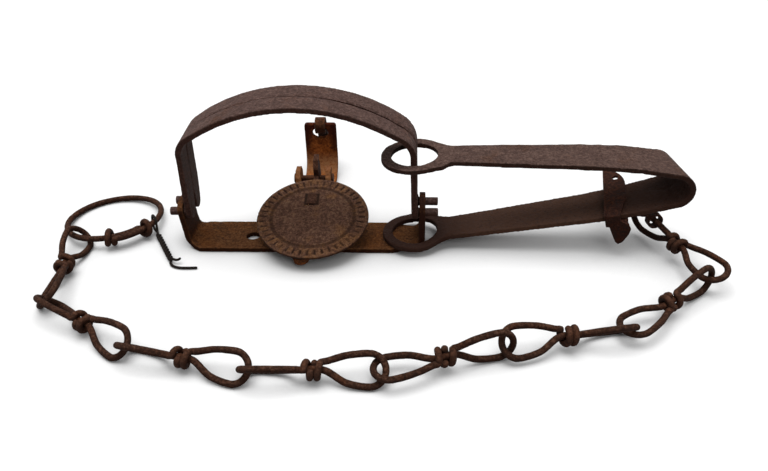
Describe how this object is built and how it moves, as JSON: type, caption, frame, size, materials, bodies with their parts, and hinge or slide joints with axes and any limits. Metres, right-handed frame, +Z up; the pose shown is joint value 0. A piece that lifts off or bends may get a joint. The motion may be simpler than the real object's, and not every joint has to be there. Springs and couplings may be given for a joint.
{
  "type": "animal trap",
  "caption": "Long spring foothold trap, sprung shut, with a round pan, hooked dog, knotted wire chain, end ring and twisted tag wire.",
  "frame": {"origin": "middle of the base strap's underside, on the floor", "axes": "+X along the base strap towards the spring, +Y towards the dog post, +Z up"},
  "size_m": [0.2774, 0.1668, 0.0668],
  "materials": {
    "base_iron": "brown rusted strap iron, matt",
    "post_iron": "orange brown rusted strap iron, matt",
    "rivet_iron": "dark rusted iron, matt",
    "pin_iron": "dark rusted iron, matt",
    "pan_iron": "grey brown pitted iron, matt",
    "lever_iron": "brown rusted iron, matt",
    "dog_iron": "dark rusted iron, matt",
    "jaw_iron": "dark grey brown rusted iron, matt",
    "spring_steel": "brown rusted spring steel, matt",
    "clip_iron": "brown rusted sheet iron, matt",
    "chain_wire": "rusted wire, orange brown at the knots",
    "ring_wire": "dark brown rusted wire, matt",
    "tag_wire": "black annealed wire"
  },
  "bodies": {
    "base": {"base_strap": "base_iron", "cross_strap": "post_iron", "cross_rivets": "rivet_iron", "pan_pin": "pin_iron"},
    "pan": {"pan": "pan_iron", "pan_lever": "lever_iron"},
    "dog": {"dog": "dog_iron"},
    "front_jaw": {"front_jaw": "jaw_iron"},
    "rear_jaw": {"rear_jaw": "jaw_iron"},
    "spring": {"spring_lower": "spring_steel", "chain_clip": "clip_iron"},
    "spring_top": {"spring_upper": "spring_steel"},
    "link_1": {"link_1": "chain_wire"},
    "link_2": {"link_2": "chain_wire"},
    "link_3": {"link_3": "chain_wire"},
    "link_4": {"link_4": "chain_wire"},
    "link_5": {"link_5": "chain_wire"},
    "link_6": {"link_6": "chain_wire"},
    "link_7": {"link_7": "chain_wire"},
    "link_8": {"link_8": "chain_wire"},
    "ring": {"end_ring": "ring_wire", "tag_wire": "tag_wire"}
  },
  "joints": [
    {"name": "pan_tilt", "type": "hinge", "parent": "base", "child": "pan", "pos_m": [0.0008, 0.03, 0.0135], "axis": [-1, 0, 0], "range_deg": [0, 12.4]},
    {"name": "dog_swing", "type": "hinge", "parent": "base", "child": "dog", "pos_m": [-0.0007, 0.06045, 0.02535], "axis": [1, 0, 0], "range_deg": [0, 248]},
    {"name": "front_jaw_open", "type": "hinge", "parent": "base", "child": "front_jaw", "pos_m": [0, -0.0044, 0.0169], "axis": [1, 0, 0], "range_deg": [0, 91]},
    {"name": "rear_jaw_open", "type": "hinge", "parent": "base", "child": "rear_jaw", "pos_m": [0, 0.0044, 0.0169], "axis": [-1, 0, 0], "range_deg": [0, 91]},
    {"name": "spring_swivel", "type": "hinge", "parent": "base", "child": "spring", "pos_m": [0.0452, 0, 0.004], "axis": [0, 0, 1], "range_deg": [0, 40]},
    {"name": "spring_press", "type": "hinge", "parent": "spring", "child": "spring_top", "pos_m": [0.1516, 0, 0.0308], "axis": [0, -1, 0], "range_deg": [0, 15.2], "stiffness_Nm_per_rad": 4, "springref_deg": -8.59, "deforming": ["spring_upper"]},
    {"name": "link_1_swing", "type": "hinge", "parent": "spring", "child": "link_1", "pos_m": [0.1432, -0.004, 0.0136], "axis": [0, 0, 1], "range_deg": [0, 4]},
    {"name": "link_2_swing", "type": "hinge", "parent": "link_1", "child": "link_2", "pos_m": [0.15781, -0.03418, 0.0071], "axis": [0, 0, 1], "range_deg": [0, 25]},
    {"name": "link_3_swing", "type": "hinge", "parent": "link_2", "child": "link_3", "pos_m": [0.1222, -0.06302, 0.00528], "axis": [0, 0, 1], "range_deg": [0, 30]},
    {"name": "link_4_swing", "type": "hinge", "parent": "link_3", "child": "link_4", "pos_m": [0.07832, -0.07396, 0.00708], "axis": [0, 0, 1], "range_deg": [0, 20]},
    {"name": "link_5_swing", "type": "hinge", "parent": "link_4", "child": "link_5", "pos_m": [0.03482, -0.08643, 0.00528], "axis": [0, 0, 1], "range_deg": [0, 25]},
    {"name": "link_6_swing", "type": "hinge", "parent": "link_5", "child": "link_6", "pos_m": [-0.01105, -0.08723, 0.00528], "axis": [0, 0, 1], "range_deg": [0, 30]},
    {"name": "link_7_swing", "type": "hinge", "parent": "link_6", "child": "link_7", "pos_m": [-0.05623, -0.07638, 0.00528], "axis": [0, 0, 1], "range_deg": [0, 30]},
    {"name": "link_8_swing", "type": "hinge", "parent": "link_7", "child": "link_8", "pos_m": [-0.09484, -0.05083, 0.00528], "axis": [0, 0, 1], "range_deg": [0, 4]},
    {"name": "ring_swing", "type": "hinge", "parent": "link_8", "child": "ring", "pos_m": [-0.09782, -0.00825, 0.00528], "axis": [0, 0, -1], "range_deg": [0, 6]}
  ],
  "couplings": [
    {"joint": "front_jaw_open", "follows": "spring_press", "ratio": 5.95},
    {"joint": "rear_jaw_open", "follows": "spring_press", "ratio": 5.95}
  ]
}
